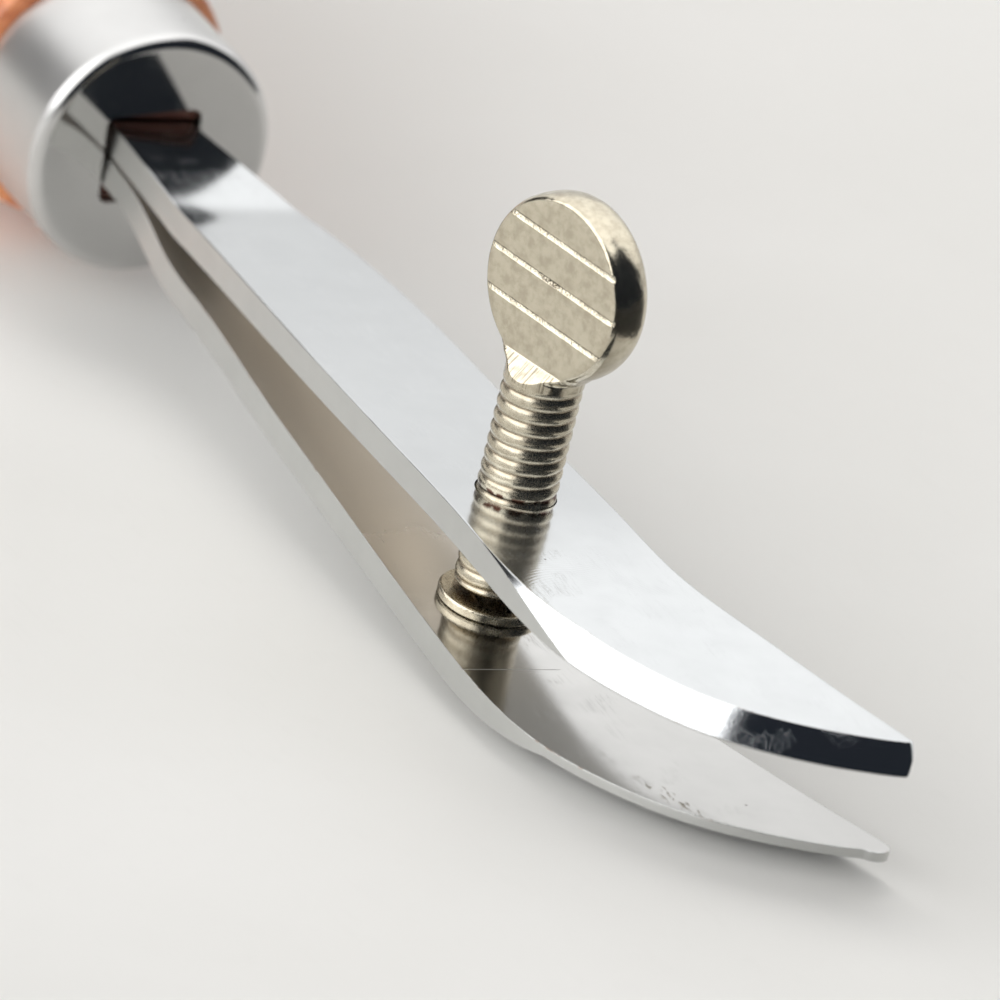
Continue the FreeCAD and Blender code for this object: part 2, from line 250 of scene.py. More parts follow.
def steel_finish(name, colour, roughness, brushed, marked=0.12):
    """Polished steel with fine lengthwise lines, cross scratches, faint blotches and a few dark specks."""
    material, tree, shader = new_material(name)
    fine = noise(tree, millimetres(tree, (0.08, 9.0, 9.0)), 1.0, 4.0)
    blotch = noise(tree, millimetres(tree, (0.4, 0.4, 0.4)), 1.0, 4.0)
    marks = scratches(tree, 0.56, 7.0, 0.0, 1.0)
    for turn, seed in ((28.0, 4.0), (-40.0, 9.0), (75.0, 14.0)):
        marks = maths(tree, "MAXIMUM", marks, scratches(tree, 0.6, 5.0, turn, seed))
    uneven = maths(tree, "MULTIPLY", maths(tree, "SUBTRACT", blotch, 0.5), 0.08)
    rough = maths(tree, "ADD", roughness, uneven)
    rough = maths(tree, "ADD", rough, maths(tree, "MULTIPLY", marks, marked))
    normal = bump(tree, fine, brushed * MM)
    normal = bump(tree, marks, -0.012 * marked * MM, 1.0, normal)
    dull = mix(tree, smooth(tree, blotch, 0.25, 0.8), colour, tuple(c * 0.95 for c in colour[:3]) + (1.0,))
    dull = mix(tree, specks(tree), dull, SPECK_BROWN)
    connect(tree, shader, Base_Color=dull, Metallic=1.0, Roughness=rough, Normal=normal)
    return material


def specks(tree):
    """Tiny dark specks, a few millimetres apart."""
    place = millimetres(tree)
    cell = node(tree, "TexVoronoi", {"Vector": place, "Scale": 0.28}).outputs["Distance"]
    ragged = maths(tree, "ADD", cell, maths(tree, "MULTIPLY", noise(tree, place, 6.0, 1.0), 0.02))
    return smooth(tree, ragged, 0.026, 0.034, 0.9, 0.0)


def add_swirls(material):
    """Faint polishing rings on a blade's outer face beyond the screw."""
    tree = material.node_tree
    shader = tree.nodes["Principled BSDF"]
    parts = node(tree, "SeparateXYZ", {0: millimetres(tree)}).outputs
    dx = maths(tree, "SUBTRACT", parts[0], FERRULE_FRONT / MM + SWIRL_CENTRE[0])
    dy = maths(tree, "SUBTRACT", parts[1], SWIRL_CENTRE[1])
    radius = span(tree, dx, dy)
    rings = maths(tree, "SINE", maths(tree, "MULTIPLY", radius, 2 * math.pi * SWIRL_RATE))
    patchy = smooth(tree, noise(tree, millimetres(tree), 0.6, 2.0), 0.35, 0.65)
    extent = smooth(tree, radius, SWIRL_RADIUS * 0.7, SWIRL_RADIUS, 1.0, 0.0)
    height = maths(tree, "MULTIPLY", maths(tree, "MULTIPLY", rings, patchy), extent)
    before = shader.inputs["Normal"].links[0].from_socket
    connect(tree, shader, Normal=bump(tree, height, SWIRL_HEIGHT * MM, 1.0, before))


def inner_finish():
    """Inner faces: duller towards the handle, with a brownish scuff and a scratch on the lower blade's."""
    material = steel_finish("inner_steel", INNER_STEEL, 0.13, 0.0006)
    tree = material.node_tree
    shader = tree.nodes["Principled BSDF"]
    parts = node(tree, "SeparateXYZ", {0: millimetres(tree)}).outputs
    along = maths(tree, "SUBTRACT", parts[0], FERRULE_FRONT / MM)
    below = smooth(tree, parts[2], -2.2, -2.0, 1.0, 0.0)
    rough = shader.inputs["Roughness"].links[0].from_socket
    rough = maths(tree, "ADD", rough, smooth(tree, along, DULL_FROM - 16.0, DULL_FROM - 2.0, 0.22, 0.0))
    dx = maths(tree, "SUBTRACT", along, SCUFF_CENTRE[0])
    dy = maths(tree, "SUBTRACT", parts[1], SCUFF_CENTRE[1])
    forward, aside = turned(tree, dx, dy, SCUFF_TURN)
    forward = maths(tree, "POWER", maths(tree, "DIVIDE", forward, SCUFF_HALF_LENGTH), 2.0)
    aside = maths(tree, "POWER", maths(tree, "DIVIDE", aside, SCUFF_HALF_WIDTH), 2.0)
    patch = smooth(tree, maths(tree, "ADD", forward, aside), 0.3, 1.3, 1.0, 0.0)
    grained = millimetres(tree, (1.6, 5.0, 5.0), (0.0, 0.0, math.radians(-SCUFF_TURN)))
    streaks = smooth(tree, noise(tree, grained, 1.0, 3.0), 0.52, 0.60)
    scuff = maths(tree, "MULTIPLY", maths(tree, "MULTIPLY", patch, streaks), below)
    away = maths(tree, "ABSOLUTE", maths(tree, "SUBTRACT", along, SCRATCH_X))
    line = smooth(tree, away, 0.02, 0.05, 1.0, 0.0)
    line = maths(tree, "MULTIPLY", line, smooth(tree, parts[1], SCRATCH_END, SCRATCH_END + 0.3, 1.0, 0.0))
    line = maths(tree, "MULTIPLY", line, below)
    colour = shader.inputs["Base Color"].links[0].from_socket
    colour = mix(tree, smooth(tree, along, DULL_FROM - 10.0, DULL_FROM), DULL_STEEL, colour)
    colour = mix(tree, maths(tree, "MULTIPLY", scuff, 0.6), colour, SCUFF_BROWN)
    rough = maths(tree, "ADD", rough, maths(tree, "MULTIPLY", maths(tree, "MAXIMUM", scuff, line), 0.35))
    connect(tree, shader, Base_Color=colour, Roughness=rough)
    return material


def ferrule_finish():
    """Drawn steel cap: satin round its side, polished on its front face."""
    material = steel_finish("drawn_steel", DRAWN_STEEL, 0.0, 0.0006, 0.05)
    tree = material.node_tree
    shader = tree.nodes["Principled BSDF"]
    ahead = node(tree, "SeparateXYZ", {0: millimetres(tree)}).outputs[0]
    satin = smooth(tree, ahead, FERRULE_FRONT / MM - 0.5, FERRULE_FRONT / MM - 0.02, 0.30, 0.07)
    rough = shader.inputs["Roughness"].links[0].from_socket
    connect(tree, shader, Roughness=maths(tree, "ADD", rough, satin))
    return material


def worn_edge_finish():
    """The blades' small edge rounds: bright, with thin brownish chips."""
    material, tree, shader = new_material("worn_edge")
    chips = noise(tree, millimetres(tree, (0.9, 0.9, 0.9)), 1.0, 4.0, 0.7)
    colour = mix(tree, smooth(tree, chips, 0.58, 0.66), WORN_STEEL, CHIP_BROWN)
    connect(tree, shader, Base_Color=colour, Metallic=1.0, Roughness=0.22)
    return material


def rising(tree, value, low, high, to_low=0.0, to_high=1.0):
    """A straight ramp of value from to_low at low to to_high at high."""
    inputs = {"Value": value, "From Min": low, "From Max": high, "To Min": to_low, "To Max": to_high}
    return node(tree, "MapRange", inputs).outputs["Result"]


def scored_lines(tree, across, level):
    """Height of the scored lines in the plating, from places on the head's face in millimetres."""
    ragged = maths(tree, "SUBTRACT", noise(tree, millimetres(tree), 8.0, 2.0), 0.5)
    height = 0.0
    for line in SCORED_LINES:
        away = maths(tree, "SUBTRACT", level, line)
        away = maths(tree, "ADD", away, maths(tree, "MULTIPLY", ragged, 0.07))
        lower = rising(tree, away, -SCORED_WIDTH, 0.0)
        upper = rising(tree, away, 0.0, SCORED_STEEP, 1.0, 0.0)
        groove = maths(tree, "MULTIPLY", lower, upper)
        height = maths(tree, "SUBTRACT", height, groove)
    return maths(tree, "MULTIPLY", height, smooth(tree, maths(tree, "ABSOLUTE", across), 1.0, 1.08))


def nickel_finish():
    """Warm nickel plate: mottled on the head, brown in the thread's roots, brushed on the neck's facets."""
    material, tree, shader = new_material("bright_nickel")
    parts = node(tree, "SeparateXYZ", {0: millimetres(tree)}).outputs
    dx = maths(tree, "SUBTRACT", parts[0], SCREW_X / MM)
    along, across = turned(tree, dx, parts[1], HEAD_TURN)
    rise = maths(tree, "SUBTRACT", parts[2], HEAD_CENTRE_Z)
    level = turned(tree, along, rise, SCORED_TILT)[1]
    radius = span(tree, dx, parts[1])
    on_thread = smooth(tree, parts[2], THREAD_TOP, THREAD_TOP + 0.1, 1.0, 0.0)
    on_neck = smooth(tree, parts[2], FACET_TOP - 0.1, FACET_TOP, 1.0, 0.0)
    on_neck = maths(tree, "MULTIPLY", on_neck, maths(tree, "SUBTRACT", 1.0, on_thread))

    wavy = noise(tree, millimetres(tree), 1.4, 2.0)
    mottle = noise(tree, millimetres(tree), 1.7, 5.0, 0.6)
    grain = noise(tree, millimetres(tree), 14.0, 3.0)
    streaks = {0: maths(tree, "MULTIPLY", along, 7.0), 1: maths(tree, "MULTIPLY", parts[2], 0.4)}
    lines = noise(tree, node(tree, "CombineXYZ", streaks).outputs[0], 1.0, 3.0)
    normal = bump(tree, wavy, 0.02 * MM)
    normal = bump(tree, grain, 0.0012 * MM, 1.0, normal)
    grooves = scored_lines(tree, across, level)
    beads = maths(tree, "MULTIPLY", grooves, noise(tree, millimetres(tree), 9.0, 1.0))
    normal = bump(tree, grooves, 0.05 * MM, 1.0, normal)
    normal = bump(tree, beads, 0.09 * MM, 1.0, normal)
    rough = smooth(tree, grain, 0.3, 0.75, 0.12, 0.24)
    rough = maths(tree, "ADD", rough, maths(tree, "MULTIPLY", on_thread, 0.10))

    colour = mix(tree, smooth(tree, mottle, 0.35, 0.7), NICKEL_LIGHT, NICKEL_DARK)
    root = smooth(tree, radius, THREAD_ROOT_RADIUS, THREAD_RADIUS - 0.03, 0.6, 0.0)
    colour = mix(tree, maths(tree, "MULTIPLY", on_thread, root), colour, ROOT_BROWN)
    # Painted shade: a patchy dark brown ring round the thread just above the upper blade, where the thread
    # enters it
    away = maths(tree, "ABSOLUTE", maths(tree, "SUBTRACT", parts[2], SHADE_RING_Z))
    ring = smooth(tree, away, 0.05, 0.2, 1.0, 0.0)
    painted_shade_ring = maths(tree, "MULTIPLY", ring, smooth(tree, mottle, 0.40, 0.55))
    colour = mix(tree, painted_shade_ring, colour, SHADE_RING_BROWN)
    brushed = maths(tree, "MULTIPLY", on_neck, smooth(tree, lines, 0.50, 0.62, 0.0, 0.75))
    colour = mix(tree, brushed, colour, BRUSHED_BROWN)
    torn = smooth(tree, maths(tree, "ABSOLUTE", along), 0.6, 0.9, 1.0, 0.0)
    middle = maths(tree, "ABSOLUTE", maths(tree, "SUBTRACT", level, SCORED_LINES[1] - 0.08))
    torn = maths(tree, "MULTIPLY", torn, smooth(tree, middle, 0.1, 0.2, 1.0, 0.0))
    torn = maths(tree, "MULTIPLY", torn, smooth(tree, noise(tree, millimetres(tree), 6.0, 2.0), 0.46, 0.56))
    colour = mix(tree, torn, colour, TORN_BROWN)
    connect(tree, shader, Base_Color=colour, Metallic=1.0, Roughness=rough, Normal=normal)
    return material


def wood_finish():
    """Reddish turned hardwood under a thin clear lacquer, with its grain lengthwise and painted shade on its
    front end inside the ferrule.
    """
    material, tree, shader = new_material("lacquered_wood")
    along = millimetres(tree, (0.035, 0.9, 0.9))
    warp = noise(tree, millimetres(tree, (0.02, 0.12, 0.12)), 1.0, 2.0)
    bands = noise(tree, along, 1.0, 5.0, 0.6)
    pores = noise(tree, millimetres(tree, (0.25, 7.0, 7.0)), 1.0, 2.0)
    tone = maths(tree, "ADD", maths(tree, "MULTIPLY", bands, 0.75), maths(tree, "MULTIPLY", warp, 0.35))
    colour = mix(tree, smooth(tree, tone, 0.40, 0.72), WOOD_LIGHT, WOOD_DARK)
    colour = mix(tree, smooth(tree, pores, 0.60, 0.72), colour, PORE_BROWN)
    # Painted shade: the wood darkens towards its front end, from 3 mm to 1.5 mm behind the ferrule's face,
    # inside the hole
    ahead = node(tree, "SeparateXYZ", {0: millimetres(tree)}).outputs[0]
    inside = smooth(tree, ahead, FERRULE_FRONT / MM - 3.0, FERRULE_FRONT / MM - 1.5)
    colour = mix(tree, inside, colour, SOCKET_SHADE_BROWN)
    normal = bump(tree, pores, 0.02 * MM, 0.5)
    connect(
        tree, shader, Base_Color=colour, Roughness=0.42, Normal=normal,
        Coat_Weight=0.6, Coat_Roughness=0.12, Coat_IOR=1.45,
    )
    return material


def floor_finish():
    """A plain pale board with very faint rubs; beyond a short distance on the camera's side it is painted
    near black for glossy rays only, a painted dark reflection in the metal.
    """
    material, tree, shader = new_material("pale_board")
    place = node(tree, "TexCoord").outputs["Object"]
    cloud = noise(tree, place, 22.0, 4.0)
    colour = mix(tree, smooth(tree, cloud, 0.3, 0.75), BOARD_DARK, BOARD_LIGHT)
    for turn, seed in ((25.0, 2.0), (-55.0, 6.0)):
        rub = scratches(tree, 0.56, 26.0, turn, seed, 0.25)
        colour = mix(tree, maths(tree, "MULTIPLY", rub, 0.06), colour, RUB_GREY)
    parts = node(tree, "SeparateXYZ", {0: place}).outputs
    # Painted dark reflection: within an azimuth window, and beyond a distance from the screw, the floor is
    # near black to glossy rays only
    ahead = maths(tree, "SUBTRACT", parts[0], SCREW_X - BELLY_X)
    azimuth = maths(tree, "DEGREES", maths(tree, "ARCTAN2", parts[1], ahead))
    distance = maths(tree, "DIVIDE", span(tree, ahead, parts[1]), MM)
    dark_reflection = box_mask(tree, azimuth, distance, *GLOSSY_DARK_FLOOR)
    seen_by_metal = node(tree, "LightPath").outputs["Is Glossy Ray"]
    colour = mix(tree, maths(tree, "MULTIPLY", dark_reflection, seen_by_metal), colour, grey(0.03))
    connect(tree, shader, Base_Color=colour, Roughness=0.45, Specular_IOR_Level=0.3)
    return material


# ---------------------------------------------------------------- mesh helpers

def smoothstep(value, low, high):
    t = min(1.0, max(0.0, (value - low) / (high - low)))
    return t * t * (3 - 2 * t)


def grid_faces(rows, columns, closed, start=0):
    """Quads between rows of points; closed joins each row's last point to its first."""
    faces = []
    width = columns if closed else columns - 1
    for i in range(rows - 1):
        for j in range(width):
            k = (j + 1) % columns
            a, b = start + i * columns, start + (i + 1) * columns
            faces.append((a + j, a + k, b + k, b + j))
    return faces


def make_piece(name, points, faces, materials, body, replaced, finishes=None):
    """A mesh piece from points in millimetres, riding on a CAD body and standing for CAD nodes."""
    mesh = bpy.data.meshes.new(name)
    mesh.from_pydata([Vector(p) * MM for p in points], [], faces)
    for material in materials:
        mesh.materials.append(material)
    if finishes:
        mesh.polygons.foreach_set("material_index", finishes)
    mesh.validate()
    tidy = bmesh.new()
    tidy.from_mesh(mesh)
    bmesh.ops.remove_doubles(tidy, verts=tidy.verts, dist=0.0005 * MM)
    bmesh.ops.recalc_face_normals(tidy, faces=tidy.faces)
    tidy.to_mesh(mesh)
    tidy.free()
    mesh.shade_smooth()
    piece = bpy.data.objects.new(name, mesh)
    bpy.context.scene.collection.objects.link(piece)
    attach(piece, body)
    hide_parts(*replaced)
    return piece


def cut(piece, cutter):
    """Takes a closed cutter's volume out of a piece and keeps the result as the piece's mesh."""
    modifier = piece.modifiers.new("cut", "BOOLEAN")
    modifier.operation = "DIFFERENCE"
    modifier.solver = "EXACT"
    modifier.object = cutter
    bpy.context.view_layer.update()
    result = bpy.data.meshes.new_from_object(piece.evaluated_get(bpy.context.evaluated_depsgraph_get()))
    piece.modifiers.clear()
    old = piece.data
    result.name = old.name + "_cut"
    piece.data = result
    bpy.data.meshes.remove(old)
    bpy.data.objects.remove(cutter)


def weigh_normals(piece):
    """Keeps broad faces flat in the light and puts the turn of the surface into the small edge faces."""
    modifier = piece.modifiers.new("weighted", "WEIGHTED_NORMAL")
    modifier.mode = "FACE_AREA"
    modifier.weight = 90
    modifier.keep_sharp = True


# ---------------------------------------------------------------- blades

# A lean is how far a bevel runs in across its blade for each millimetre of its height.
BLADE_THICKNESS = 1.5
BEVEL_START_X = 45.5
BEVEL_FULL_X = 57.2
BEVEL_GROWTH = 2.4
UPPER_LAND = 0.08
UPPER_LEAN = 0.62
LOWER_LAND = 0.5
LOWER_LEAN = 2.4
BLADE_RIBS = 300
TIP_CROWDING = 1.6
FACE_POINTS = 9
BEVEL_POINTS = 3
EDGE_ROUND = 0.035
EDGE_WEAR = 0.6
SUPPORT = 0.07
TANG_RELIEF = 0.064
BORE_RADIUS = 2.05
PIN_SLOT_HALF_WIDTH = 1.12
PIN_SLOT_ENDS = (-0.25, 0.9)


def face_points(name, upward):
    """Vertices and boundary edges of a CAD blade's faces that look up (or down), in millimetres."""
    mesh = NODES[name].data
    places = {}
    for polygon in mesh.polygons:
        if polygon.normal.z * upward > 0.85:
            for i in polygon.vertices:
                co = mesh.vertices[i].co
                places[i] = ((co.x - FERRULE_FRONT) / MM, co.y / MM, co.z / MM)
    edges = {}
    for polygon in mesh.polygons:
        if polygon.normal.z * upward > 0.85:
            ring = [tuple(round(c, 4) for c in places[i]) for i in polygon.vertices]
            for a, b in zip(ring, ring[1:] + ring[:1]):
                key = (min(a, b), max(a, b))
                edges[key] = edges.get(key, 0) + 1
    return list(places.values()), [key for key, count in edges.items() if count == 1]


def outer_loop(edges):
    """The longest closed loop made by boundary edges, in order."""
    links = {}
    for a, b in edges:
        links.setdefault(a, []).append(b)
        links.setdefault(b, []).append(a)
    loops, left = [], set(links)
    while left:
        start = min(left)
        loop, here, before = [start], start, None
        left.discard(start)
        while True:
            ahead = [p for p in links[here] if p != before and p in left]
            if not ahead:
                break
            before, here = here, ahead[0]
            left.discard(here)
            loop.append(here)
        loops.append(loop)
    return max(loops, key=len)


def smooth_heights(points, spacing=1.2):
    """A height curve along X through a face's vertices: (stations, heights, slopes)."""
    kept = []
    for x, _, z in sorted(points):
        if not kept or x - kept[-1][0] > spacing:
            kept.append((x, z))
    x = np.array([k[0] for k in kept])
    z = np.array([k[1] for k in kept])
    return x, z, np.gradient(z, x)


def hermite(curve, at):
    """Value of a cubic curve with given slopes at its stations."""
    x, z, slope = curve
    at = np.clip(at, x[0], x[-1])
    i = np.clip(np.searchsorted(x, at) - 1, 0, len(x) - 2)
    h = x[i + 1] - x[i]
    t = (at - x[i]) / h
    value = (1 + 2 * t) * (1 - t) ** 2 * z[i] + t * (1 - t) ** 2 * h * slope[i]
    return value + t * t * (3 - 2 * t) * z[i + 1] - t * t * (1 - t) * h * slope[i + 1]


def resample(line, count):
    """count points along a plan line, crowded towards its end, on a smooth curve through its own points."""
    kept = [line[0]]
    for point in line[1:-1]:
        if math.dist(point, kept[-1]) > 0.1:
            kept.append(point)
    line = np.array(kept + [line[-1]])
    step = np.hypot(*np.diff(line, axis=0).T)
    along = np.concatenate([[0.0], np.cumsum(step)])
    slope = np.gradient(line, along, axis=0)
    at = along[-1] * (1 - (1 - np.linspace(0.0, 1.0, count)) ** TIP_CROWDING)
    return np.column_stack([hermite((along, line[:, k], slope[:, k]), at) for k in (0, 1)])


def sides_of(loop):
    """The plan lines from the tang to the tip's last point, along the near edge and along the far edge."""
    plan = [(p[0], p[1]) for p in loop]
    butt = min(range(len(plan)), key=lambda i: (round(plan[i][0], 1), plan[i][1]))
    plan = plan[butt:] + plan[:butt]
    if plan[1][0] < plan[0][0] + 0.2:
        plan = plan[:1] + plan[:0:-1]
    tip = max(range(len(plan)), key=lambda i: plan[i][0] + plan[i][1])
    near, far = plan[:tip + 1], plan[tip:]
    return near, far[::-1]


def rounded(section, corners, radius):
    """A closed section with each named corner replaced by a small three-point round."""
    out = []
    count = len(section)
    for i, point in enumerate(section):
        if i not in corners:
            out.append(point)
            continue
        before = section[i - 1] - point
        after = section[(i + 1) % count] - point
        r = min(radius, 0.3 * np.hypot(*before), 0.3 * np.hypot(*after))
        a = point + before / max(np.hypot(*before), 1e-9) * r
        b = point + after / max(np.hypot(*after), 1e-9) * r
        out += [a, (a + b + 2 * point) / 4, b]
    return out


def blade_section(x, length, across, land, lean):
    """A rib's closed section as (distance from the near edge, height from the inner face) pairs."""
    share = min(1.0, max(0.0, (x - BEVEL_START_X) / (BEVEL_FULL_X - BEVEL_START_X)))
    start = BLADE_THICKNESS - (BLADE_THICKNESS - land) * share ** BEVEL_GROWTH
    start = min(start, BLADE_THICKNESS - EDGE_ROUND)
    top = BLADE_THICKNESS
    reach = max(lean * (top - start), EDGE_ROUND) / across
    limit = 0.86 * length
    if reach > limit:
        top = start + (top - start) * limit / reach
        reach = limit
    side = min(SUPPORT, 0.3 * start)
    face = held(reach, length)
    section = [(0.0, 0.0), (0.0, side), (0.0, start - side), (0.0, start)]
    shares = [k / BEVEL_POINTS for k in range(1, BEVEL_POINTS)]
    section += [(reach * s, start + (top - start) * s) for s in shares]
    section += [(d, top) for d in face]
    section += [(length, d) for d in (top - side, side)]
    section += [(d, 0.0) for d in held(0.0, length)[:0:-1]]
    far = 3 + BEVEL_POINTS + FACE_POINTS
    corners = (0, 3, 3 + BEVEL_POINTS, far, far + 3)
    worn = EDGE_ROUND * (1 + EDGE_WEAR * field.noise(Vector((x * 1.9, length, lean))))
    return rounded([np.array(p) for p in section], corners, worn)


def held(start, end):
    """FACE_POINTS + 1 places across a face, with two close to its edges to keep it flat in the light."""
    margin = min(SUPPORT, 0.2 * (end - start))
    return [start] + list(np.linspace(start + margin, end - margin, FACE_POINTS - 1)) + [end]


def section_finishes():
    """Materials around a section: 0 outer face, 1 sheared side, 2 bevel, 3 worn edge, 4 inner face."""
    near_side = [3, 3, 1, 1, 1]
    bevel = [3, 3] + [2] * BEVEL_POINTS + [3, 3]
    far_side = [3, 3, 1, 1, 1, 3, 3]
    return near_side + bevel + [0] * FACE_POINTS + far_side + [4] * FACE_POINTS


def build_blade(name, outward, land, lean, materials):
    """A blade made of ribs from its near edge to its far edge, with a ground bevel along the near one."""
    inner_points, inner_edges = face_points(name, -outward)
    inner = smooth_heights(inner_points)
    near, far = [resample(side, BLADE_RIBS) for side in sides_of(outer_loop(inner_edges))]
    rows = []
    for i in range(BLADE_RIBS - 1):
        rib = far[i] - near[i]
        length = max(np.hypot(*rib), 1e-6)
        tangent = near[min(i + 3, BLADE_RIBS - 1)] - near[max(i - 3, 0)]
        across = abs(tangent[0] * rib[1] - tangent[1] * rib[0]) / (np.hypot(*tangent) * length)
        row = []
        for distance, height in blade_section(near[i][0], length, max(across, 0.35), land, lean):
            place = near[i] + rib * (distance / length)
            relief = max(0.0, -place[0]) * TANG_RELIEF
            z = hermite(inner, place[0]) + outward * (relief + height * (1 - relief / BLADE_THICKNESS))
            row.append((place[0] + FERRULE_FRONT / MM, place[1], float(z)))
        rows.append(row)
    columns = len(rows[0])
    points = [p for row in rows for p in row]
    faces = grid_faces(len(rows), columns, True)
    finishes = section_finishes() * (len(rows) - 1) + [1, 1]
    faces += [tuple(range(columns)), tuple(range(len(points) - columns, len(points)))]
    return make_piece(name + "_steel", points, faces, materials, name, [name], finishes)


def prism_cutter(outline, low, high):
    """A closed upright prism over a plan outline in millimetres."""
    count = len(outline)
    points = [Vector((x, y, z)) * MM for z in (low, high) for x, y in outline]
    faces = grid_faces(2, count, True) + [tuple(range(count))[::-1], tuple(range(count, 2 * count))]
    mesh = bpy.data.meshes.new("cutter")
    mesh.from_pydata(points, [], faces)
    cutter = bpy.data.objects.new("cutter", mesh)
    bpy.context.scene.collection.objects.link(cutter)
    return cutter


def circle(centre_x, radius, start=0.0, end=360.0, count=64):
    angles = [math.radians(start + (end - start) * i / count) for i in range(count)]
    return [(centre_x + radius * math.cos(a), radius * math.sin(a)) for a in angles]


def build_blades(materials):
    screw = SCREW_X / MM
    upper = build_blade("upper_blade", 1, UPPER_LAND, UPPER_LEAN, materials)
    cut(upper, prism_cutter(circle(screw, BORE_RADIUS), -3.0, 6.0))
    lower = build_blade("lower_blade", -1, LOWER_LAND, LOWER_LEAN, materials)
    back, front = PIN_SLOT_ENDS
    slot = circle(screw + back, PIN_SLOT_HALF_WIDTH, 90.0, 270.0, 24)
    slot += circle(screw + front, PIN_SLOT_HALF_WIDTH, 270.0, 450.0, 24)
    cut(lower, prism_cutter(slot, -8.0, -1.0))
    for blade in (upper, lower):
        blade.data.set_sharp_from_angle(angle=math.radians(60.0))
        weigh_normals(blade)


# ---------------------------------------------------------------- ferrule

FERRULE_RADIUS = 6.6
FERRULE_LENGTH = 7.5
FERRULE_WALL = 0.75
FERRULE_RIM = 0.7
FERRULE_LIP = 0.25
FERRULE_COLUMNS = 200
HOLE_HALF_WIDTH = 2.6
HOLE_HALF_HEIGHT = 2.4
HOLE_CORNER = 0.5
HOLE_CENTRE_Y = -0.1
HOLE_TWIST = 7.0


def arc(centre_x, centre_r, radius, start, end, count=10):
    """(distance ahead of the ferrule's face, radius) pairs round a quarter turn."""
    angles = [math.radians(start + (end - start) * i / count) for i in range(count + 1)]
    return [(centre_x + radius * math.cos(a), centre_r + radius * math.sin(a)) for a in angles]


def ferrule_profile():
    """The cap's wall as a closed loop, from the front face round the outside and back along the inside."""
    inside = FERRULE_RADIUS - FERRULE_WALL
    rim_start = FERRULE_RADIUS - FERRULE_RIM
    back = -FERRULE_LENGTH + FERRULE_LIP
    loop = [(0.0, r) for r in (1.5, 2.5, 3.5, 4.5, rim_start - 0.1)]
    loop += arc(-FERRULE_RIM, rim_start, FERRULE_RIM, 0.0, 90.0)
    loop += [(-FERRULE_RIM - 0.1, FERRULE_RADIUS), (-FERRULE_LENGTH / 2, FERRULE_RADIUS)]
    loop += arc(back, FERRULE_RADIUS - FERRULE_LIP, FERRULE_LIP, 90.0, 180.0, 5)
    loop += [(-FERRULE_LENGTH, inside), (-FERRULE_WALL, inside), (-FERRULE_WALL, 1.5), (0.0, 1.5)]
    return loop


def punched_outline():
    """The twisted, round-cornered hole as (down, across) pairs."""
    flat = []
    corners = ((1, 1, 0.0), (-1, 1, 90.0), (-1, -1, 180.0), (1, -1, 270.0))
    for side_y, side_z, start in corners:
        centre_y = side_y * (HOLE_HALF_WIDTH - HOLE_CORNER)
        centre_z = side_z * (HOLE_HALF_HEIGHT - HOLE_CORNER)
        for i in range(7):
            angle = math.radians(start + 15.0 * i)
            y = centre_y + HOLE_CORNER * math.cos(angle)
            z = centre_z + HOLE_CORNER * math.sin(angle)
            flat.append((y, z))
    c, s = math.cos(math.radians(HOLE_TWIST)), math.sin(math.radians(HOLE_TWIST))
    return [(-(y * s + z * c), y * c - z * s + HOLE_CENTRE_Y) for y, z in flat]


def build_ferrule(material):
    """A drawn cap with a tight rim and the punched hole for the blades."""
    front = FERRULE_FRONT / MM
    turn = [2 * math.pi * j / FERRULE_COLUMNS for j in range(FERRULE_COLUMNS)]
    rows = [[(front + x, r * math.cos(a), r * math.sin(a)) for a in turn] for x, r in ferrule_profile()]
    points = [p for row in rows for p in row]
    faces = grid_faces(len(rows), FERRULE_COLUMNS, True)
    ferrule = make_piece("drawn_cap", points, faces, [material], "grip", ["ferrule"])
    punch = prism_cutter(punched_outline(), front - 2 * FERRULE_WALL, front + FERRULE_WALL)
    punch.rotation_euler = (0.0, math.pi / 2, 0.0)
    cut(ferrule, punch)
    ferrule.data.set_sharp_from_angle(angle=math.radians(40.0))
    weigh_normals(ferrule)


# ---------------------------------------------------------------- thumbscrew

THREAD_PITCH = 0.7
THREAD_RADIUS = 2.0
THREAD_ROOT_RADIUS = 1.88
THREAD_TOP = 9.3
THREAD_END = -2.15
THREAD_END_ROUND = 0.55
THREAD_CREST = 0.9
SHANK_ROWS = 340
SHANK_COLUMNS = 96
PIN_RADIUS = 1.0
RIVET_RADIUS = 1.45
RIVET_HEIGHT = 0.6
NECK_TOP = 11.3
FACET_TOP = 10.37
HEAD_CENTRE_Z = 14.3
HEAD_TURN = 17.5
HEAD_FACE_RADIUS = 4.15
HEAD_RADIUS = 4.7
HEAD_HALF_THICKNESS = 1.15
HEAD_COLUMNS = 320
FACE_RINGS = 78
RIM_RINGS = 18
FLARE_START = 9.7
FLARE_RATE = 0.95
SCORED_LINES = (2.55, 0.45, -1.63)
SCORED_TILT = -1.3
SCORED_WIDTH = 0.25
SCORED_STEEP = 0.05
SCORED_DEPTH = 0.05
BURR_HEIGHT = 0.015
FACE_WAVE = 0.006
RIM_POWER = 0.62
RIM_WAVE = 0.03


def thread_radius(z, angle):
    """Radius of the rolled thread: rounded crests on a right-hand helix, fading out at the neck."""
    phase = (z / THREAD_PITCH - angle / (2 * math.pi)) % 1.0
    crest = math.sin(math.pi * phase) ** THREAD_CREST
    crest = max(crest, smoothstep(z, THREAD_TOP - 0.25, THREAD_TOP + 0.1))
    radius = THREAD_ROOT_RADIUS + (THREAD_RADIUS - THREAD_ROOT_RADIUS) * crest
    above = z - THREAD_END
    if above < THREAD_END_ROUND:
        t = 1.0 - above / THREAD_END_ROUND
        radius = min(radius, PIN_RADIUS + (THREAD_RADIUS - PIN_RADIUS) * math.sqrt(max(0.0, 1.0 - t * t)))
    return radius


